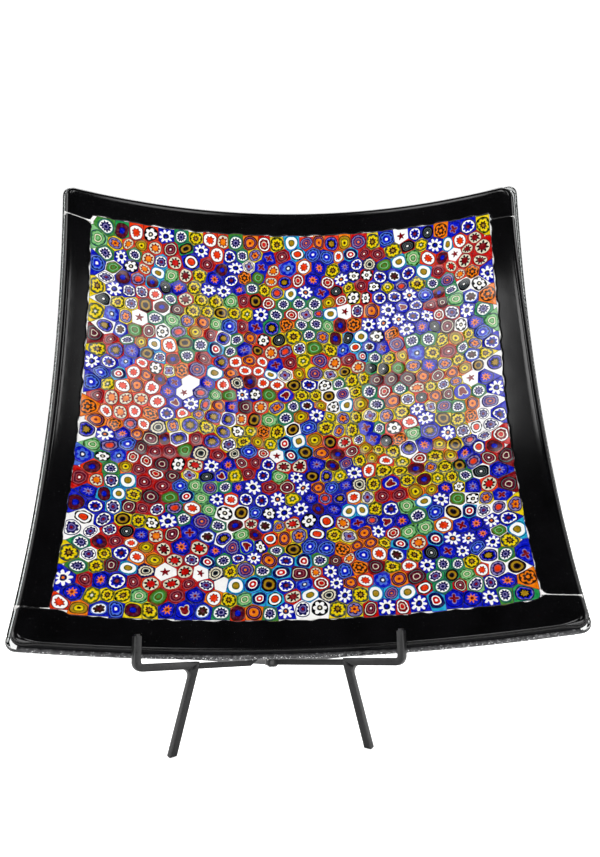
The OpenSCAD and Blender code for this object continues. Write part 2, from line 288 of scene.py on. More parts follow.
def sheet(name, grid, radii, edges, mats, slot, turned=False, warp=None, crown=None, only=None,
          stands_for=()):
    """A solid sheet between the front and back radii, with quarter-round edges of the two radii in edges.
    turned swaps the flat axes, warp moves v, and crown sinks the front towards a fire-polished outer edge.
    The last material goes on the wall behind the front's rounding or, where only is given, on the faces and
    the edge where it is true."""
    (r0, r1), (b0, b1) = radii, edges
    wall = len(mats) - 1
    g = grid[:, :, ::-1].copy() if turned else grid.copy()
    if warp:
        g[..., 1] += warp(g[..., 0], g[..., 1])
    n, m = g.shape[:2]
    ring = ([(i, 0) for i in range(n)] + [(n - 1, j) for j in range(1, m)]
            + [(i, m - 1) for i in range(n - 2, -1, -1)] + [(0, j) for j in range(m - 2, 0, -1)])
    if turned:
        ring = ring[::-1]
    edge = np.array([g[i, j] for i, j in ring])
    verts, faces, index = [], [], []
    sink = crown or (lambda uv: np.zeros(len(uv)))

    def add(uv, r):
        base = sum(len(v) for v in verts)
        verts.append(place(uv, r))
        return base

    def face_grid(r, inset, crowned):
        p = g.copy()
        for (i, j), q in zip(ring, offset(edge, inset)):
            p[i, j] = q
        p = p.reshape(-1, 2)
        return add(p, r + sink(p) if crowned else r)

    front = face_grid(r0, b0, True)
    back = face_grid(r1, b1, False)
    for i in range(n - 1):
        for j in range(m - 1):
            q = [i * m + j, (i + 1) * m + j, (i + 1) * m + j + 1, i * m + j + 1]
            f = [front + k for k in q]
            h = [back + k for k in q]
            faces.append(f[::-1] if turned else f)
            faces.append(h if turned else h[::-1])
            low = wall if only and only(g[i, j]) and only(g[i + 1, j]) else 0
            index += [low, low if j == 0 else 0]

    # the quarter rounds at the front and the back, and the wall between them
    front_arc = np.linspace(0, math.pi / 2, FRONT_STEPS + 1)[1:]
    back_arc = np.linspace(0, math.pi / 2, BACK_STEPS + 1)[:-1]
    steps = [(b0 * (1 - math.sin(t)), r0 + sink(edge) + b0 * (1 - math.cos(t))) for t in front_arc]
    steps += [(b1 * (1 - math.cos(t)), r1 - b1 * (1 - math.sin(t))) for t in back_arc]
    loops = [[front + i * m + j for i, j in ring]]
    for inset, r in steps:
        base = add(offset(edge, inset), r)
        loops.append([base + k for k in range(len(edge))])
    loops.append([back + i * m + j for i, j in ring])
    for k, (prev, cur) in enumerate(zip(loops, loops[1:])):
        for i in range(len(edge)):
            j = (i + 1) % len(edge)
            faces.append([prev[i], cur[i], cur[j], prev[j]])
            index.append(wall if (only(edge[i]) if only else k >= FRONT_STEPS) else 0)
    make(name, np.concatenate(verts), faces, mats, slot, index, stands_for)


# ------------------------------------ where the mosaic ends and the strips butt
def ripple(x, k):
    """The black glass crept a little unevenly along the mosaic as it fused."""
    return 0.30 * np.sin(x * 0.43 + k) + 0.22 * np.sin(x * 0.71 + 2 * k) + 0.12 * np.sin(x * 1.3 + 3 * k)


def field_left(v):
    return -110.8 + ripple(v, 1)


def field_right(v):
    return 107.7 + 2.4 * ease(v, -20.0, 60.0) + ripple(v, 2)


def field_top(u):
    return 111.2 + ripple(u, 3)


def field_bottom(u):
    return -109.6 + ripple(u, 4) + 2.2 * ease(-u, 96.0, 110.0) + 1.2 * ease(u, 100.0, 108.0)


# the four butt joints between the strips: where each starts at the mosaic, and its slope
SEAM_TL, SLOPE_TL = (-111.0, 108.1), 0.14
SEAM_TR, SLOPE_TR = (110.0, 107.4), 0.07
SEAM_BR, SLOPE_BR = (108.5, -107.2), 0.21
SEAM_BL_V = -107.2


def seam_tl(u):
    return SEAM_TL[1] + (SEAM_TL[0] - u) * SLOPE_TL


def seam_tr(u):
    return SEAM_TR[1] - (u - SEAM_TR[0]) * SLOPE_TR


def seam_bl(u):
    return SEAM_BL_V


def seam_br(u):
    return SEAM_BR[1] - (u - SEAM_BR[0]) * SLOPE_BR


def top_low(u):
    """Lower edge of the top strip: a seam, the mosaic, a seam."""
    a, b = ease(-u, 110.2, 111.4), ease(u, 109.8, 111.2)
    return (field_top(u) + 0.10) * (1 - a - b) + a * (seam_tl(u) + 0.16) + b * (seam_tr(u) + 0.12)


def bottom_high(u):
    """Upper edge of the bottom strip."""
    a, b = ease(-u, 109.8, 111.4), ease(u, 107.6, 109.0)
    return (field_bottom(u) - 0.10) * (1 - a - b) + a * (seam_bl(u) - 0.12) + b * (seam_br(u) - 0.11)


def left_high(v):
    """Inner edge of the left strip."""
    return field_left(v) - 0.10


def right_low(v):
    return field_right(v) + 0.10


def outer_right(v):
    return SX - TOP_RIGHT_IN * ease(v, 30.0, 107.0)


def left_warp(u, v):
    """Turns the left strip's ends along their seams, and closes them where no gap shows."""
    closed = 0.24 * ease(-u, 122.2, 123.0) + 0.34 * ease(u, -115.5, -111.4)
    return ease(v, 60.0, 107.0) * (SEAM_TL[0] - u) * SLOPE_TL + ease(-v, 100.0, 107.2) * closed


def right_warp(u, v):
    lower = (u - SEAM_BR[0]) * SLOPE_BR
    upper = (u - SEAM_TR[0]) * SLOPE_TR + 0.26 * ease(u, 121.2, 122.0)
    return -ease(-v, 60.0, 106.0) * lower - ease(v, 60.0, 106.0) * upper


def polish(uv):
    """How far the front surface sinks close to the outside of the frame."""
    u, v = uv[:, 0], uv[:, 1]
    c = np.array([ROUND[(1 if a > 0 else -1, 1 if b > 0 else -1)] for a, b in uv])
    x, y = np.where(u > 0, u - outer_right(v), -u - SL) + c, np.abs(v) - (SY - c)
    d = c - np.where((x > 0) & (y > 0), np.hypot(x, y), np.maximum(x, y))
    w = np.where(v < -SY + 4, 1.0 + 1.9 * ease(np.abs(u), 112.0, 121.0), 2.9)
    d = np.clip(d, 0, w)
    return w * 0.92 * (1 - np.sqrt(np.maximum(0.0, 1 - (1 - d / w) ** 2)))


def const(c):
    return lambda x: c


# ------------------------------------ the clear sheet and the four black strips
# lower and upper ends of the side strips
LEFT_ENDS, RIGHT_ENDS = (-107.31, 107.95), (-107.13, 107.51)
# corner radii where strips butt, and at the mosaic's corners
BUTT, INNER, LEFT_HEEL, RIGHT_HEEL = 0.8, 1.2, 3.2, 3.6
OUTWARD_ROWS = [0.0, 0.014, 0.035, 0.065, 0.10, 0.14, 0.19, 0.30, 0.5, 0.75, 0.93, 1.0]
INWARD_ROWS = [1 - t for t in reversed(OUTWARD_ROWS)]
BASE_ROWS = [0.0, 0.005] + [0.01 * k for k in range(1, 100)] + [0.995, 1.0]
STRIP = dict(radii=(R_FRONT, R_SEAT - 0.02), edges=(0.28, 0.3), mats=strip_mats, slot="black_glass",
             crown=polish)


# where the clear sheet's lower edge takes the painted shade and painted glints
def at_low_edge(p):
    return p[1] < -HALF + 1.0 and abs(p[0]) < HALF - 4.5


sheet("clear_base", panel(-HALF, HALF, 40, BASE_ROWS, const(-LOW_EDGE), const(HALF), (5, 5, 5, 5)),
      (R_SEAT, R_BACK), (0.5, 1.7), base_mats, "clear_glass", only=at_low_edge,
      stands_for=("clear_base_sheet",))
sheet("border_top", panel(-SL, SX - TOP_RIGHT_IN, 230, INWARD_ROWS, top_low, const(SY),
                          (BUTT, ROUND[-1, 1], BUTT, ROUND[1, 1])),
      stands_for=("border_strip_top",), **STRIP)
sheet("border_bottom", panel(-SL, SX, 230, OUTWARD_ROWS, const(-SY), bottom_high,
                             (ROUND[-1, -1], BUTT, ROUND[1, -1], BUTT)),
      stands_for=("border_strip_bottom",), **STRIP)
sheet("border_left", panel(*LEFT_ENDS, 210, OUTWARD_ROWS, const(-SL), left_high,
                           (BUTT, INNER, BUTT, LEFT_HEEL)),
      turned=True, warp=left_warp, stands_for=("border_strip_left",), **STRIP)
sheet("border_right", panel(*RIGHT_ENDS, 210, INWARD_ROWS, right_low, outer_right,
                            (RIGHT_HEEL, BUTT, INNER, BUTT)),
      turned=True, warp=right_warp, stands_for=("border_strip_right",), **STRIP)

# ------------------------------------ murrine: the chips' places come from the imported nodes
SIDES = 48            # points round a cane
SNAP = 2e-5           # metres within which two vertices are the same
REACH = 5.9           # how far a cane can spread from its middle
RIM_REACH = 8.0       # how far a cane at the mosaic's rim can spread
TOO_NEAR = 6.1
CLEAR = 6.2
FAR = 20.0


def islands(obj):
    """The middle of each separate solid in a node, in metres."""
    co = np.array([v.co for v in obj.data.vertices])
    keys, ident = {}, []
    for p in np.round(co / SNAP).astype(np.int64):
        ident.append(keys.setdefault(tuple(p), len(keys)))
    parent = list(range(len(keys)))

    def find(a):
        while parent[a] != a:
            parent[a] = parent[parent[a]]
            a = parent[a]
        return a

    for poly in obj.data.polygons:
        vs = [ident[v] for v in poly.vertices]
        for v in vs[1:]:
            ra, rb = find(vs[0]), find(v)
            if ra != rb:
                parent[ra] = rb
    groups = {}
    for key, k in keys.items():
        groups.setdefault(find(k), []).append(key)
    return [np.mean(np.array(g), 0) * SNAP for g in groups.values()]


def laid_canes():
    """The chips' kinds and flat places, row by row, fitted to the field between the strips."""
    prefix = "murrine_"
    names = [name for name in sorted(nodes) if name.startswith(prefix)]
    found = [(name[len(prefix):], p) for name in names for p in islands(nodes[name])]
    p = flat([q for _, q in found])
    order = np.lexsort((p[:, 0].round(1), p[:, 1].round(1)))
    p = p[order]
    left, right = field_left(p[:, 1]), field_right(p[:, 1])
    p = np.stack([left + (p[:, 0] + MOS + 0.5) * (right - left) / (2 * MOS), p[:, 1] + 0.85], 1)
    return [found[i][0] for i in order], p


def settle(p):
    """Canes settle unevenly as they soften: a slow drift and a little scatter, fading towards the rim."""
    for i, (x, y) in enumerate(p):
        fade = min(1.0, (111 - abs(x)) / 9) * min(1.0, (111 - abs(y)) / 9)
        dx = 1.5 * math.sin(x * 0.11 + 1.3 * math.sin(y * 0.13)) + 1.0 * math.sin(y * 0.23 + 2.0)
        dx += rng.uniform(-0.95, 0.95)
        dy = 1.5 * math.sin(y * 0.12 + 1.7 * math.sin(x * 0.10 + 1.0)) + 1.0 * math.sin(x * 0.21 + 0.6)
        dy += rng.uniform(-0.9, 0.9)
        p[i] = (x + dx * fade * 0.8, y + dy * fade * 0.8)
    for _ in range(2):   # push apart any that came too close
        near = np.linalg.norm(p[:, None] - p[None], axis=2)
        np.fill_diagonal(near, 99)
        for i, j in np.argwhere(near < TOO_NEAR):
            if i < j:
                d = p[i] - p[j]
                k = (CLEAR - near[i, j]) / 2 / max(near[i, j], 1e-6)
                p[i] += d * k
                p[j] -= d * k


chips, pts = laid_canes()
settle(pts)
# how much more room a kind takes than its neighbours
BIG = {"navy_star": 7, "purple_flower": 6, "heart": 7, "cobalt_daisy": 3, "yellow_star": -2,
       "white_red_star": 1, "red_bullseye": -2, "olive_oval": 3}
weight = np.array([BIG.get(k, 0) + rng.uniform(-5, 5) for k in chips])


def clip(poly, a, b, c):
    """Keeps the part of poly where a x + b y <= c."""
    out = []
    for k, p in enumerate(poly):
        q = poly[(k + 1) % len(poly)]
        dp, dq = a * p[0] + b * p[1] - c, a * q[0] + b * q[1] - c
        if dp <= 0:
            out.append(p)
        if dp * dq < 0:
            t = dp / (dp - dq)
            out.append((p[0] + (q[0] - p[0]) * t, p[1] + (q[1] - p[1]) * t))
    return out


def cell(i):
    """The room that cane i fills between its neighbours: a polygon."""
    p = pts[i]
    x0, x1, y0, y1 = field_left(p[1]), field_right(p[1]), field_bottom(p[0]), field_top(p[0])
    poly = [(x0, y0), (x1, y0), (x1, y1), (x0, y1)]
    rim = min(p[0] - x0, x1 - p[0], p[1] - y0, y1 - p[1]) < RIM_REACH
    away = RIM_REACH if rim else REACH
    for k in range(12):
        a = math.pi / 6 * k
        poly = clip(poly, math.cos(a), math.sin(a), math.cos(a) * p[0] + math.sin(a) * p[1] + away)
    d2 = ((pts - p) ** 2).sum(1)
    for j in np.argsort(d2)[1:16]:
        if d2[j] > FAR * FAR:
            break
        n = pts[j] - p
        c = (pts[j] @ pts[j] - p @ p + weight[i] - weight[j]) / 2
        poly = clip(poly, n[0], n[1], c)
    return poly


def polar(poly, centre, angles):
    """Distance from the centre to the polygon along each angle."""
    P = np.array(poly) - centre
    E = np.roll(P, -1, 0) - P
    c, s = np.cos(angles)[:, None], np.sin(angles)[:, None]
    den = c * E[None, :, 1] - s * E[None, :, 0]
    num = P[:, 0] * E[:, 1] - P[:, 1] * E[:, 0]
    with np.errstate(divide="ignore", invalid="ignore"):
        t = num[None] / den
    t = np.where(den > 1e-9, t, np.inf)
    t = np.where(t <= 1e-6, np.inf, t)
    return t.min(1)


# ------------------------------------ cane patterns
# A band is a curve, which takes the angle that the pattern is turned by, and a colour. Sizes are parts of
# the cane's own radius. A colour may also be a choice: a share, the colour below it, and the colour above it.
ANG = np.arange(SIDES) * 2 * math.pi / SIDES


def disc(size, colour):
    return (lambda a: np.full(SIDES, size)), colour


def petals(n, low, high, colour, power=0.7, turn=0.0):
    return (lambda a: low + (high - low) * np.abs(np.cos(n * (ANG - (a + turn)) / 2)) ** power), colour


def star(n, low, high, colour, power=1.0):
    def curve(a):
        t = np.abs(((n * (ANG / TURN - a / TURN)) % 1.0) - 0.5) * 2
        return low + (high - low) * t ** power
    return curve, colour


def heart(size, colour):
    def curve(a):
        d = np.abs((ANG - a) % TURN - math.pi)          # 0 at the tip side
        tip = 0.38 * np.cos(d) ** 2 * (d < math.pi / 2)
        lobes = 0.33 * np.exp(-((d - 2.25) / 0.55) ** 2)
        notch = 0.22 * np.exp(-((d - math.pi) / 0.35) ** 2)
        return size * (0.62 + tip + lobes - notch)
    return curve, colour


# each kind's variants: the share up to which it is picked, the ground colour (None is a neighbour's), and the
# bands from the outside in
RECIPES = {
    "cobalt_daisy": [
        (0.42, "cobalt", [disc(1.0, "cobalt"), petals(8, 0.42, 1.0, "white", 1.0), disc(0.40, "navy"),
                          disc(0.16, (0.4, "orange", "cobalt"))]),
        (0.64, "cobalt", [disc(1.0, "navy"), disc(0.84, "white"), star(8, 0.50, 0.76, "cobalt", 0.7),
                          disc(0.44, "navy"), disc(0.2, "darkred")]),
        (0.78, "cobalt", [disc(1.0, "lightblue"), disc(0.88, "navy"), petals(8, 0.58, 0.76, "lightblue"),
                          disc(0.52, "cobalt"), disc(0.2, "white")]),
        (1.0, "cobalt", [disc(1.0, "navy"), disc(0.84, "cobalt"),
                         star(8, 0.26, 0.66, (0.6, "orange", "lilac"), 1.2), disc(0.18, "darkred")])],
    "red_bullseye": [
        (0.45, "red", [disc(1.0, "darkred"), disc(0.84, "pink"), disc(0.75, "maroon"), disc(0.48, "pink"),
                       disc(0.40, "darkred"), disc(0.15, "white")]),
        (0.72, "red", [disc(1.0, "black"), disc(0.90, "white"), petals(8, 0.66, 0.76, "darkred"),
                       disc(0.42, "cream"), disc(0.32, "red")]),
        (1.0, "darkred", [disc(1.0, "black"), disc(0.88, "grey"), disc(0.78, "maroon"),
                          disc(0.44, "cream"), disc(0.34, "maroon")])],
    "orange_sun": [
        (0.40, (0.7, "orangered", "orange"), [disc(1.0, "maroon"), disc(0.88, "white"),
                                              star(8, 0.44, 0.66, "darkred"),
                                              star(8, 0.34, 0.50, "orangered")]),
        (0.65, "orangered", [disc(1.0, "brown"), disc(0.88, "cream"), star(8, 0.50, 0.84, "darkred", 1.2),
                             disc(0.44, "orange")]),
        (0.85, "orange", [disc(1.0, "black"), disc(0.84, "pink"), disc(0.76, "navy"),
                          disc(0.58, "orange"), disc(0.2, "darkred")]),
        (1.0, "orange", [disc(0.98, "brown"), petals(6, 0.54, 0.86, "orange"),
                         petals(6, 0.34, 0.60, "brown"), disc(0.22, "orange")])],
    "yellow_star": [
        (0.48, "yellow", [petals(8, 0.78, 1.02, "olive"), petals(8, 0.62, 0.86, "yellow"),
                          star(8, 0.36, 0.60, "brown", 0.9), disc(0.2, "ochre")]),
        (0.68, "orange", [disc(1.0, "brown"), disc(0.88, "ochre"), disc(0.6, "olive"),
                          disc(0.48, "yellow"), disc(0.22, "brown")]),
        (0.88, "yellow", [disc(1.0, "navy"), disc(0.86, "lilac"), petals(6, 0.42, 0.74, "navy"),
                          petals(6, 0.28, 0.54, "orange"), disc(0.2, "darkred")]),
        (1.0, "yellow", [disc(0.98, "olive"), petals(6, 0.66, 0.86, "yellow"),
                         petals(6, 0.30, 0.54, "olive"), disc(0.18, "cream")])],
    "green_star": [
        (1.0, (0.6, "green", "leaf"), [disc(1.0, "navy"), disc(0.92, "teal"), disc(0.80, "white"),
                                       star(10, 0.46, 0.76, "navy", 0.8), disc(0.34, "lilac"),
                                       disc(0.22, "navy")])],
    "turquoise_ring": [
        (0.65, "turquoise", [disc(1.0, "turquoise"), disc(0.90, "white"), disc(0.50, "olive"),
                             disc(0.34, "ochre")]),
        (1.0, "turquoise", [disc(1.0, "navy"), disc(0.60, "white"), disc(0.46, "red"),
                            disc(0.18, "white")])],
    "white_blossom": [
        (0.45, None, [disc(1.0, "navy"), disc(0.88, "white"), star(8, 0.56, 0.82, "navy", 0.6),
                      disc(0.48, "lilac"), disc(0.36, "purple"), disc(0.18, "darkred")]),
        (0.8, None, [disc(1.0, "black"), petals(8, 0.78, 0.90, "lilac", 0.5, 0.39),
                     petals(8, 0.58, 0.72, "navy"), disc(0.50, "pink"), disc(0.38, "orangered")]),
        (1.0, None, [petals(6, 0.84, 1.0, "black"), disc(0.78, "white"), disc(0.54, "black"),
                     disc(0.42, "orangered")])],
    "black_petal": [
        (0.6, None, [disc(1.0, "black"), petals(6, 0.50, 0.84, "white", 1.0), disc(0.34, "black"),
                     disc(0.14, "cream")]),
        (1.0, "navy", [disc(1.0, "navy"), petals(12, 0.78, 0.94, "cream", 0.5), disc(0.68, "black"),
                       disc(0.50, "cream"), disc(0.38, "grey"), disc(0.26, "black")])],
    "navy_star": [
        (1.0, (0.7, None, "white"), [disc(1.0, "navy"), disc(0.84, "lilac"),
                                     star(8, 0.66, 0.82, "cobalt", 0.5),
                                     star(8, 0.50, 0.70, "black"), star(8, 0.28, 0.44, "ochre")])],
    "maroon_ring": [
        (0.5, (0.4, "maroon", "red"), [disc(1.0, "black"), disc(0.86, "cream"), disc(0.76, "maroon"),
                                       disc(0.52, "pink"), disc(0.44, "maroon"), disc(0.14, "white")]),
        (1.0, None, [disc(1.0, "brown"), disc(0.84, "maroon"), disc(0.46, "navy"),
                     disc(0.34, "cobalt")])],
    "white_red_star": [
        (0.8, (0.6, "red", "orangered"), [disc(1.0, "darkred"), disc(0.90, "cream"),
                                          star(8, 0.42, 0.86, "black", 0.9),
                                          star(8, 0.38, 0.50, (0.5, "darkred", "red"))]),
        (1.0, "white", [disc(0.9, "white"), star(5, 0.28, 0.66, "darkred", 1.6)])],
    "heart": [
        (1.0, None, [disc(1.0, "cobalt"), heart(0.76, "cream"), heart(0.60, "darkred")])],
    "olive_oval": [
        (1.0, None, [disc(1.0, "olive"), disc(0.80, "leaf"), disc(0.58, "palegreen"), disc(0.46, "olive"),
                     disc(0.24, "leaf")])],
    "pale_green_flower": [
        (1.0, "palegreen", [petals(8, 0.86, 1.0, "leaf"), petals(8, 0.74, 0.88, "palegreen"),
                            disc(0.62, "leaf"),
                            disc(0.52, "cream"), disc(0.38, "leaf"), disc(0.22, "palegreen")])],
    "amber_eye": [
        (1.0, None, [disc(1.0, "black"), disc(0.80, "brown"), disc(0.68, "ochre"), disc(0.42, "brown"),
                     disc(0.28, "black")])],
    "grey_ring": [
        (1.0, None, [disc(1.0, "black"), disc(0.70, "grey"), disc(0.60, "black"), disc(0.46, "grey"),
                     disc(0.36, "black"), disc(0.16, "white")])],
    "blue_cross": [
        (1.0, "cobalt", [disc(1.0, "cobalt"), petals(4, 0.30, 0.72, "lilac", 1.2),
                         petals(4, 0.20, 0.58, "darkred", 1.3)])],
    "lilac_clover": [
        (1.0, (0.4, "white", "yellow"), [disc(1.0, "brown"), disc(0.90, "cream"),
                                         petals(4, 0.50, 0.80, "navy", 0.8),
                                         petals(4, 0.36, 0.64, "lilac", 0.8), disc(0.26, "darkred")])],
    "purple_flower": [
        (1.0, None, [disc(1.0, "navy"), petals(12, 0.80, 0.88, "lilac"), petals(12, 0.66, 0.74, "purple"),
                     petals(8, 0.46, 0.56, "pink"), petals(8, 0.34, 0.42, "purple"),
                     disc(0.16, "orange")])],
    "light_blue": [
        (0.5, "cobalt", [disc(1.0, "navy"), disc(0.90, "lightblue"), disc(0.76, "white"),
                         petals(7, 0.44, 0.66, "brown"), disc(0.2, "maroon")]),
        (1.0, "lightblue", [disc(1.0, "cobalt"), petals(6, 0.46, 0.78, "lightblue"), disc(0.40, "navy"),
                            disc(0.18, "white")])],
    "plain_white": [(1.0, "white", [disc(0.9, "white")])],
}
# the skin of the kinds that have a coloured one, which spreads under their neighbours
OWN = {"cobalt_daisy": "cobalt", "red_bullseye": "red", "orange_sun": "orangered", "yellow_star": "yellow",
       "green_star": "green", "turquoise_ring": "turquoise", "white_red_star": "red",
       "pale_green_flower": "palegreen", "blue_cross": "cobalt"}
with_skin = [k for k, kind in enumerate(chips) if kind in OWN]
# painted shade: the darker colour that a cane's ground takes in a thin ring at its cell's edge, so that a
# dark line shows between two canes of a colour
PAINTED_SHADE = {"red": "darkred", "darkred": "maroon", "orangered": "darkred", "orange": "darkred",
         "yellow": "olive", "cobalt": "navy", "navy": "black", "green": "navy", "leaf": "olive",
         "palegreen": "leaf",
         "turquoise": "cobalt", "maroon": "black", "lightblue": "cobalt"}
# outer bands that need a dark outline to stand off their ground
LIGHT_BANDS = ("cobalt", "turquoise", "lightblue", "olive", "leaf", "ochre", "cream")
OUTLINE = 1.08


def picked(choice, g):
    if isinstance(choice, tuple):
        share, below, above = choice
        return below if g < share else above
    return choice


def clear_patch(p):
    """Where the white canes gathered, their glass shows between the others too."""
    x, y = p
    w = math.sin(0.045 * x + 0.8) * math.cos(0.052 * y - 0.4) + 0.55 * math.sin(0.11 * x - 0.07 * y + 1.0)
    side = math.sin(0.085 * y + 1.2)
    return w > 0.92 or (x < -97 and side > 0.1) or (x > 88 and side > -0.35)


def borrowed(i):
    """The ground of a cane that has no skin: that of the nearest cane with one."""
    if clear_patch(pts[i]):
        return "white"
    d2 = ((pts[with_skin] - pts[i]) ** 2).sum(1)
    return OWN[chips[with_skin[int(np.argmin(np.where(d2 < 1e-6, 1e9, d2)))]]]


def pattern(i, a, v, g):
    """The ground of cane i, and its bands as curves and colours from the outside in."""
    _, ground, bands = next(r for r in RECIPES[chips[i]] if v < r[0])
    ground = picked(ground, g) or borrowed(i)
    bands = [(curve(a), picked(colour, g)) for curve, colour in bands]
    if bands[0][1] in LIGHT_BANDS:
        bands.insert(0, (np.full(SIDES, OUTLINE), "navy" if g < 0.5 else "black"))
    return ground, bands


def spread(poly, c):
    """The cell's outline about c: angles and distances, with a sample on every corner, so that cells meet."""
    angles = ANG.copy()
    for q in poly:
        t = math.atan2(q[1] - c[1], q[0] - c[0]) % TURN
        k = int(round(t / TURN * SIDES)) % SIDES
        angles[k] = t if k or t < math.pi else t - TURN
    return angles, polar(poly, c, angles)


def rounded(rc, squeeze, lean, size):
    """The cane's own outline: the cell's, smoothed by dropping its finer waves, and a little oval."""
    waves = np.fft.rfft(rc)
    waves *= np.array([1.0, 0.9, 0.78, 0.42, 0.18, 0.06] + [0.0] * (len(waves) - 6))
    r = np.fft.irfft(waves, SIDES) * (1 + squeeze * np.cos(2 * (ANG - lean))) * size
    return np.minimum(np.minimum(r, rc * 0.955), 4.35)


def add_cane(mesh, c, angles, loops, ground):
    """Adds one cane to the mesh: nested bands on a domed front, a wall, and the outer bands again behind."""
    V, F, I = mesh
    start, n_loops, outer = len(V), len(loops), loops[0][0]
    cs = np.stack([np.cos(angles), np.sin(angles)], 1)
    for rad, _ in loops:
        dome = 0.05 + 0.07 * np.minimum(1.0, rad / outer.mean()) ** 3
        V.extend(place(c + cs * rad[:, None], R_FRONT + dome))
    centre = len(V)
    V.extend(place([c], [R_FRONT + 0.04]))
    low = len(V)
    behind = loops[2:5]
    for rad in [outer] + [rad for rad, _ in behind]:
        V.extend(place(c + cs * rad[:, None], np.full(SIDES, R_SEAT - 0.06)))
    around = [(t, (t + 1) % SIDES) for t in range(SIDES)]
    for k, (_, colour) in enumerate(loops):
        o = start + k * SIDES
        if k + 1 < n_loops:
            F.extend((o + t, o + u, o + SIDES + u, o + SIDES + t) for t, u in around)
        else:
            F.extend((o + t, o + u, centre) for t, u in around)
        I.extend([COLOURS.index(colour)] * SIDES)
    F.extend((start + u, start + t, low + t, low + u) for t, u in around)
    I.extend([COLOURS.index(loops[0][1])] * SIDES)
    for k, colour in enumerate([ground] + [colour for _, colour in behind]):
        o = low + k * SIDES
        if k < len(behind):
            F.extend((o + u, o + t, o + SIDES + t, o + SIDES + u) for t, u in around)
            I.extend([COLOURS.index(colour)] * SIDES)
        else:
            F.append(tuple(o + t for t in reversed(range(SIDES))))
            I.append(COLOURS.index(colour))


def build_canes():
    built = {}
    for i, kind in enumerate(chips):
        a, v, g = rng.uniform(0, TURN), rng.random(), rng.random()
        squeeze, lean, size = rng.uniform(0.0, 0.13), rng.uniform(0, math.pi), rng.uniform(0.82, 0.93)
        poly = cell(i)
        if len(poly) < 3:
            continue
        c = np.array(poly).mean(0) * 0.6 + pts[i] * 0.4
        angles, rc = spread(poly, c)
        if not np.isfinite(rc).all():
            continue
        body = rounded(rc, squeeze, lean, size)
        ground, bands = pattern(i, a, v, g)
        # painted shade: the cell's outer ring takes the darker colour of its ground
        loops = [(rc, PAINTED_SHADE.get(ground, ground)), (rc * 0.95, ground)]
        loops += [(np.minimum(curve, OUTLINE + 0.01) * body, colour) for curve, colour in bands]
        for k in range(1, len(loops)):   # each curve stays inside the one before
            loops[k] = (np.minimum(loops[k][0], loops[k - 1][0] * 0.985), loops[k][1])
        add_cane(built.setdefault(kind, ([], [], [])), c, angles, loops, ground)
    for kind, (V, F, I) in built.items():
        used = sorted(set(I))
        where = {c: k for k, c in enumerate(used)}
        make("canes_" + kind, V, F, [canes[c] for c in used], kind + "_cane", [where[c] for c in I],
             stands_for=("murrine_" + kind,))


build_canes()


# ------------------------------------ white glass round the mosaic's edge and in the seams
def white_ground(n=61):
    """The white glass under the canes, which shows round the mosaic's uneven edge."""
    grid = np.zeros((n, n, 2))
    across = np.linspace(-110.5, 108, n)
    lo, hi = field_bottom(across) - 0.05, field_top(across) + 0.05
    for i in range(n):
        for j in range(n):
            v = lo[i] + (hi[i] - lo[i]) * j / (n - 1)
            left, right = field_left(v), field_right(v)
            grid[i, j] = (left - 0.05 + (right - left + 0.10) * i / (n - 1), v)
    sheet("mosaic_white_ground", grid, (R_FRONT + 0.30, R_FRONT + 1.6), (0.05, 0.05), [m_white],
          "plain_white_cane")


def white_seam(name, u0, u1, columns, low, high):
    """A thin line of white glass between two strips."""
    sheet("white_seam_" + name, panel(u0, u1, columns, [0.0, 1.0], low, high),
          (R_FRONT + 0.06, R_SEAT - 0.04), (0.02, 0.02), [m_white], "plain_white_cane")


white_ground()
white_seam("top_left", -124.3, -110.7, 20, lambda u: seam_tl(u) - 0.10 - 0.45 * ease(u, -115.0, -110.9),
           lambda u: seam_tl(u) + 0.12 + 0.5 * ease(u, -114.0, -110.9))
white_seam("bottom_right", 107.4, 124.4, 20, lambda u: seam_br(u) - 0.12,
           lambda u: seam_br(u) + 0.10 + 2.4 * (1 - ease(u, 107.4, 112.5)) + 0.3 * ease(u, 122.5, 124.2))
white_seam("bottom_left_tick", -124.4, -122.6, 6, lambda u: seam_bl(u) - 0.10, lambda u: seam_bl(u) + 0.14)
white_seam("bottom_left", -116.0, -110.6, 8, lambda u: seam_bl(u) - 0.10 * ease(u, -116.0, -112.0),
           lambda u: seam_bl(u) + 0.03 + 0.30 * ease(u, -116.0, -110.8))
white_seam("top_right", 121.2, 123.0, 6, lambda u: seam_tr(u) - 0.10, lambda u: seam_tr(u) + 0.10)


# ------------------------------------ small bubbles and chips in the clear bottom edge
def ring_of(u, v, r, half_long, half_high, lag=0.0):
    """A hexagon of flat points and radii on the bottom edge."""
    turns = [math.pi / 3 * q for q in range(6)]
    return [(u + half_long * math.cos(t + lag), v, r + half_high * math.sin(t + lag)) for t in turns]


def edge_bubbles(count=330):
    edge = -LOW_EDGE - 0.06
    V, F = [], []
    for k in range(count):
        u = rng.uniform(-117, 118) if k % 3 else rng.gauss(rng.choice((-60, 20, 75)), 26)
        if abs(u) > 119:
            continue
        r = rng.uniform(R_SEAT + 0.35, R_BACK - 1.0)
        size = rng.choice((0.10, 0.13, 0.16, 0.21, 0.29)) * rng.uniform(0.8, 1.2)
        long = rng.uniform(0.8, 1.7)
        o = len(V) * 14
        block = ring_of(u, edge, r, size * long, size)
        block += ring_of(u, edge - size * 0.5, r, size * long * 0.5, size * 0.5, 0.5)
        block = np.array(block + [(u, -LOW_EDGE + 0.3, r), (u, edge - size * 0.62, r)])
        V.append(place(block[:, :2], block[:, 2]))
        for q in range(6):
            w = (q + 1) % 6
            F.append((o + q, o + w, o + 6 + w, o + 6 + q))
            F.append((o + 6 + q, o + 6 + w, o + 13))
            F.append((o + w, o + q, o + 12))
    make("edge_bubbles", np.concatenate(V), F, [bubble_glass()], "clear_glass")


edge_bubbles()


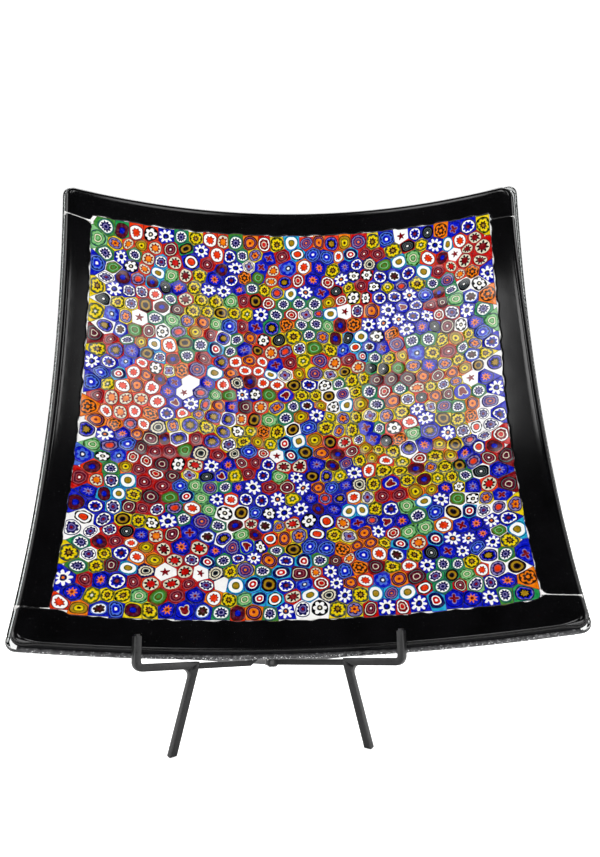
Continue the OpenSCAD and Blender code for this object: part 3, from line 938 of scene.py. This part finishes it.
# ------------------------------------ easel: the CAD bars, with their arrises eased
def coat_easel():
    coat = powder_coat()
    for name in ("hook_bar_left", "hook_bar_right", "cross_rail_left", "cross_rail_right",
                 "back_upright_left", "back_upright_right", "pivot_rivet"):
        o = nodes[name]
        o.data.materials.clear()
        o.data.materials.append(coat)
        w = o.modifiers.new("weld", "WELD")
        w.merge_threshold = 1e-5
        bv = o.modifiers.new("arris", "BEVEL")
        bv.width = 0.7 * MM
        bv.segments = 4
        bv.limit_method = "ANGLE"
        bv.angle_limit = math.radians(35)
        bv.harden_normals = True
        for p in o.data.polygons:
            p.use_smooth = True


coat_easel()


# ------------------------------------ studio, in metres
def map_range(nt, src, to_min, to_max, from_min=0.0, from_max=1.0):
    n = nt.nodes.new("ShaderNodeMapRange")
    n.inputs["From Min"].default_value = from_min
    n.inputs["From Max"].default_value = from_max
    n.inputs["To Min"].default_value = to_min
    n.inputs["To Max"].default_value = to_max
    nt.links.new(src, n.inputs["Value"])
    return n.outputs["Result"]


def pale_floor(radius=3.0, sides=64, drop=0.0002):
    m = surface("pale_floor", (6.0,), [(0.3, grey(0.86)), (0.7, grey(0.88))], Roughness=0.9,
                Emission_Color=(1, 1, 1, 1))
    # the floor looks white itself, but throws little light up on the glass
    nt = m.node_tree
    seen = nt.nodes.new("ShaderNodeLightPath").outputs["Is Camera Ray"]
    nt.links.new(map_range(nt, seen, 0.05, 0.80), nt.nodes["Principled BSDF"].inputs["Emission Strength"])
    me = bpy.data.meshes.new("floor")
    turns = [TURN * k / sides for k in range(sides)]
    rim = [(radius * math.cos(t), radius * math.sin(t), -drop) for t in turns]
    me.from_pydata(rim, [], [list(range(sides))])
    me.materials.append(m)
    floor = bpy.data.objects.new("floor", me)
    scene.collection.objects.link(floor)


def area(name, at, to, w, h, power):
    light = bpy.data.lights.new(name, "AREA")
    light.shape = "RECTANGLE"
    light.size, light.size_y = w, h
    light.energy = power
    o = bpy.data.objects.new(name, light)
    scene.collection.objects.link(o)
    o.location = at
    o.rotation_euler = (Vector(to) - Vector(at)).to_track_quat("-Z", "Y").to_euler()
    o.visible_camera = False


def studio_world():
    """White for the camera. For the object it is dark in front, where the black glass would mirror it, and
    light behind and at the sides."""
    world = bpy.data.worlds.new("studio")
    scene.world = world
    world.use_nodes = True
    nt = world.node_tree
    glow = nt.nodes["Background"]
    glow.inputs["Color"].default_value = (1, 1, 1, 1)
    sep = nt.nodes.new("ShaderNodeSeparateXYZ")
    nt.links.new(nt.nodes.new("ShaderNodeTexCoord").outputs["Generated"], sep.inputs[0])
    aside = nt.nodes.new("ShaderNodeMath")
    aside.operation = "ABSOLUTE"
    nt.links.new(sep.outputs["X"], aside.inputs[0])
    total = nt.nodes.new("ShaderNodeMath")
    total.operation = "ADD"
    nt.links.new(map_range(nt, sep.outputs["Y"], 0.012, 0.62, -0.12, 0.4), total.inputs[0])
    nt.links.new(map_range(nt, aside.outputs[0], 0.0, 0.75, 0.60, 0.85), total.inputs[1])
    nt.links.new(total.outputs[0], glow.inputs["Strength"])
    white = nt.nodes.new("ShaderNodeBackground")
    white.inputs["Color"].default_value = (1, 1, 1, 1)
    white.inputs["Strength"].default_value = 1.05
    mix = nt.nodes.new("ShaderNodeMixShader")
    nt.links.new(nt.nodes.new("ShaderNodeLightPath").outputs["Is Camera Ray"], mix.inputs[0])
    nt.links.new(glow.outputs[0], mix.inputs[1])
    nt.links.new(white.outputs[0], mix.inputs[2])
    nt.links.new(mix.outputs[0], nt.nodes["World Output"].inputs["Surface"])


pale_floor()
MIDDLE = (0.0, 0.0, 0.15)
# two small windows, whose reflections lie as a haze on the mosaic's sides
area("window_a", (0.185, -0.80, 1.02), MIDDLE, 0.16, 0.34, 0.62)
area("window_b", (-0.20, -0.77, 1.02), MIDDLE, 0.17, 0.34, 0.78)
area("low_front", (0.0, -1.25, 0.24), (0, 0, 0.14), 1.9, 0.5, 10.4)
area("side_left", (-1.3, -0.35, 0.5), MIDDLE, 0.6, 0.9, 3.6)
area("side_right", (1.3, -0.35, 0.5), MIDDLE, 0.6, 0.9, 3.6)
area("overhead_back", (0.0, 0.9, 1.5), (0, 0.1, 0.0), 1.6, 1.0, 22)
studio_world()
scene.view_settings.view_transform = "Standard"
scene.view_settings.look = "None"

# ------------------------------------ camera: close, and looking slightly down at the bowl
lens = bpy.data.cameras.new("camera")
lens.sensor_width = 36.0
lens.lens = 28.63
lens.shift_x = -0.0371
lens.shift_y = 0.0961
lens.clip_start = 0.01
lens.clip_end = 50
cam = bpy.data.objects.new("camera", lens)
scene.collection.objects.link(cam)
cam.location = (0.00235, -0.34804, 0.12380)
cam.rotation_euler = [math.radians(a) for a in (85.598, 0.622, -2.332)]
scene.camera = cam
